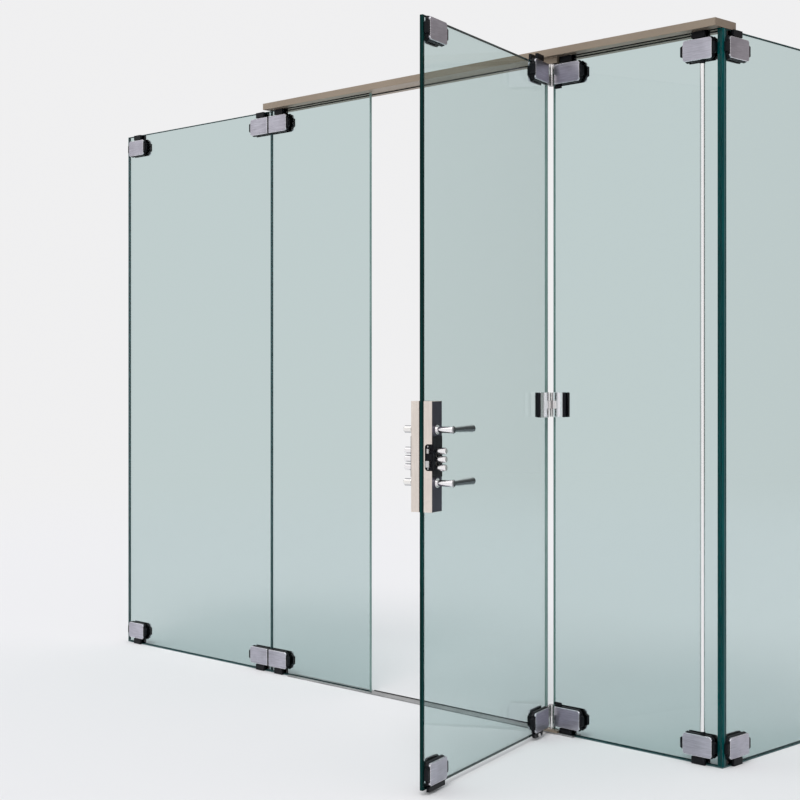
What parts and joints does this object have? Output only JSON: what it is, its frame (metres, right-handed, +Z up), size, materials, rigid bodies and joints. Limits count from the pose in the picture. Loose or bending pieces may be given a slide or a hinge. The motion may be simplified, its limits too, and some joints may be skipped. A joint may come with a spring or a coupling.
{
  "type": "glass entrance door",
  "caption": "Frameless glass entrance with an open swing leaf, fixed side panes, a corner return pane, patch clamps, barrel hinges, bronze head rail and a twin-lever lock.",
  "frame": {"origin": "on the sill's underside, at the glass mid-plane directly beside the hinge axis", "axes": "+X along the facade from the leaf towards the corner, +Y into the building, +Z up"},
  "size_m": [3.3345, 1.6649, 2.426],
  "materials": {
    "glass": "clear toughened float glass with a slight green tint, ground edges",
    "bronze_rail": "dark bronze anodised, satin",
    "black_seal": "matt black rubber",
    "clear_seal": "dark translucent sealant",
    "sill_steel": "brushed, worn",
    "black_plastic": "moulded, matt black",
    "black_metal": "satin black",
    "satin_steel": "satin stainless steel",
    "polished_steel": "polished"
  },
  "bodies": {
    "frame": {"sidelight_glass": "glass", "narrow_pane_glass": "glass", "hinge_pane_glass": "glass", "return_pane_glass": "glass", "head_rail": "bronze_rail", "head_infill": "bronze_rail", "head_gasket": "black_seal", "floor_sill": "sill_steel", "sill_gasket": "black_seal", "perimeter_seals": "black_seal", "joint_seals": "clear_seal", "clamp_pads": "black_seal", "clamp_shoes": "black_plastic", "head_rail_caps": "bronze_rail", "wall_clamp_housings": "black_plastic", "wall_clamp_covers": "satin_steel", "joint_clamp_housings": "black_plastic", "joint_clamp_covers": "satin_steel", "hinge_clamp_housings": "black_plastic", "hinge_clamp_covers": "satin_steel", "corner_clamp_housings": "black_plastic", "corner_clamp_covers": "satin_steel", "corner_rod": "polished_steel", "rod_sockets": "black_plastic", "frame_knuckles": "polished_steel", "hinge_lugs": "black_plastic", "pivot_blocks": "bronze_rail", "frame_middle_hinge_bodies": "black_metal", "frame_middle_hinge_covers": "polished_steel"},
    "door_leaf": {"leaf_glass": "glass", "leaf_hinge_clamp_housings": "black_plastic", "leaf_hinge_clamp_covers": "satin_steel", "leaf_free_clamp_housings": "black_plastic", "leaf_free_clamp_covers": "satin_steel", "leaf_pads": "black_seal", "leaf_shoes": "black_plastic", "leaf_knuckles": "polished_steel", "leaf_middle_hinge_bodies": "black_metal", "leaf_middle_hinge_covers": "polished_steel", "lock_case_outer": "satin_steel", "lock_case_inner": "satin_steel", "lock_forend": "black_plastic", "lock_escutcheons": "black_plastic", "lock_pads": "black_seal", "lever_roses": "polished_steel"},
    "upper_lever": {"upper_lever": "polished_steel"},
    "lower_lever": {"lower_lever": "polished_steel"},
    "knob_top": {"knob_top": "polished_steel"},
    "knob_middle": {"knob_middle": "polished_steel"},
    "knob_bottom": {"knob_bottom": "polished_steel"},
    "latch_bolt": {"latch_bolt": "satin_steel"},
    "dead_bolt": {"dead_bolt": "satin_steel"}
  },
  "joints": [
    {"name": "leaf_swing", "type": "hinge", "parent": "frame", "child": "door_leaf", "pos_m": [0, -0.017, 0], "axis": [0, 0, 1], "range_deg": [-106, 14]},
    {"name": "upper_lever_turn", "type": "hinge", "parent": "door_leaf", "child": "upper_lever", "pos_m": [0.23531, -0.89932, 1.11], "axis": [-0.9613, -0.2756, 0], "range_deg": [0, 40], "stiffness_Nm_per_rad": 2, "springref_deg": -22.92},
    {"name": "lower_lever_turn", "type": "hinge", "parent": "door_leaf", "child": "lower_lever", "pos_m": [0.23531, -0.89932, 0.948], "axis": [-0.9613, -0.2756, 0], "range_deg": [0, 40], "stiffness_Nm_per_rad": 2, "springref_deg": -22.92},
    {"name": "latch_slide", "type": "slide", "parent": "door_leaf", "child": "latch_bolt", "axis": [-0.2756, 0.9613, 0], "range_m": [0, 0.0121]},
    {"name": "dead_bolt_slide", "type": "slide", "parent": "door_leaf", "child": "dead_bolt", "axis": [-0.2756, 0.9613, 0], "range_m": [0, 0.0121]},
    {"name": "knob_top_turn", "type": "hinge", "parent": "door_leaf", "child": "knob_top", "pos_m": [0.23531, -0.89932, 1.0455], "axis": [-0.9613, -0.2756, 0], "range_deg": [0, 90]},
    {"name": "knob_middle_turn", "type": "hinge", "parent": "door_leaf", "child": "knob_middle", "pos_m": [0.23531, -0.89932, 1.02], "axis": [-0.9613, -0.2756, 0], "range_deg": [0, 90]},
    {"name": "knob_bottom_turn", "type": "hinge", "parent": "door_leaf", "child": "knob_bottom", "pos_m": [0.23531, -0.89932, 0.9945], "axis": [-0.9613, -0.2756, 0], "range_deg": [0, 90]}
  ],
  "couplings": [
    {"joint": "latch_slide", "follows": "upper_lever_turn", "m_per_rad": 0.017189},
    {"joint": "dead_bolt_slide", "follows": "lower_lever_turn", "m_per_rad": 0.017189}
  ]
}
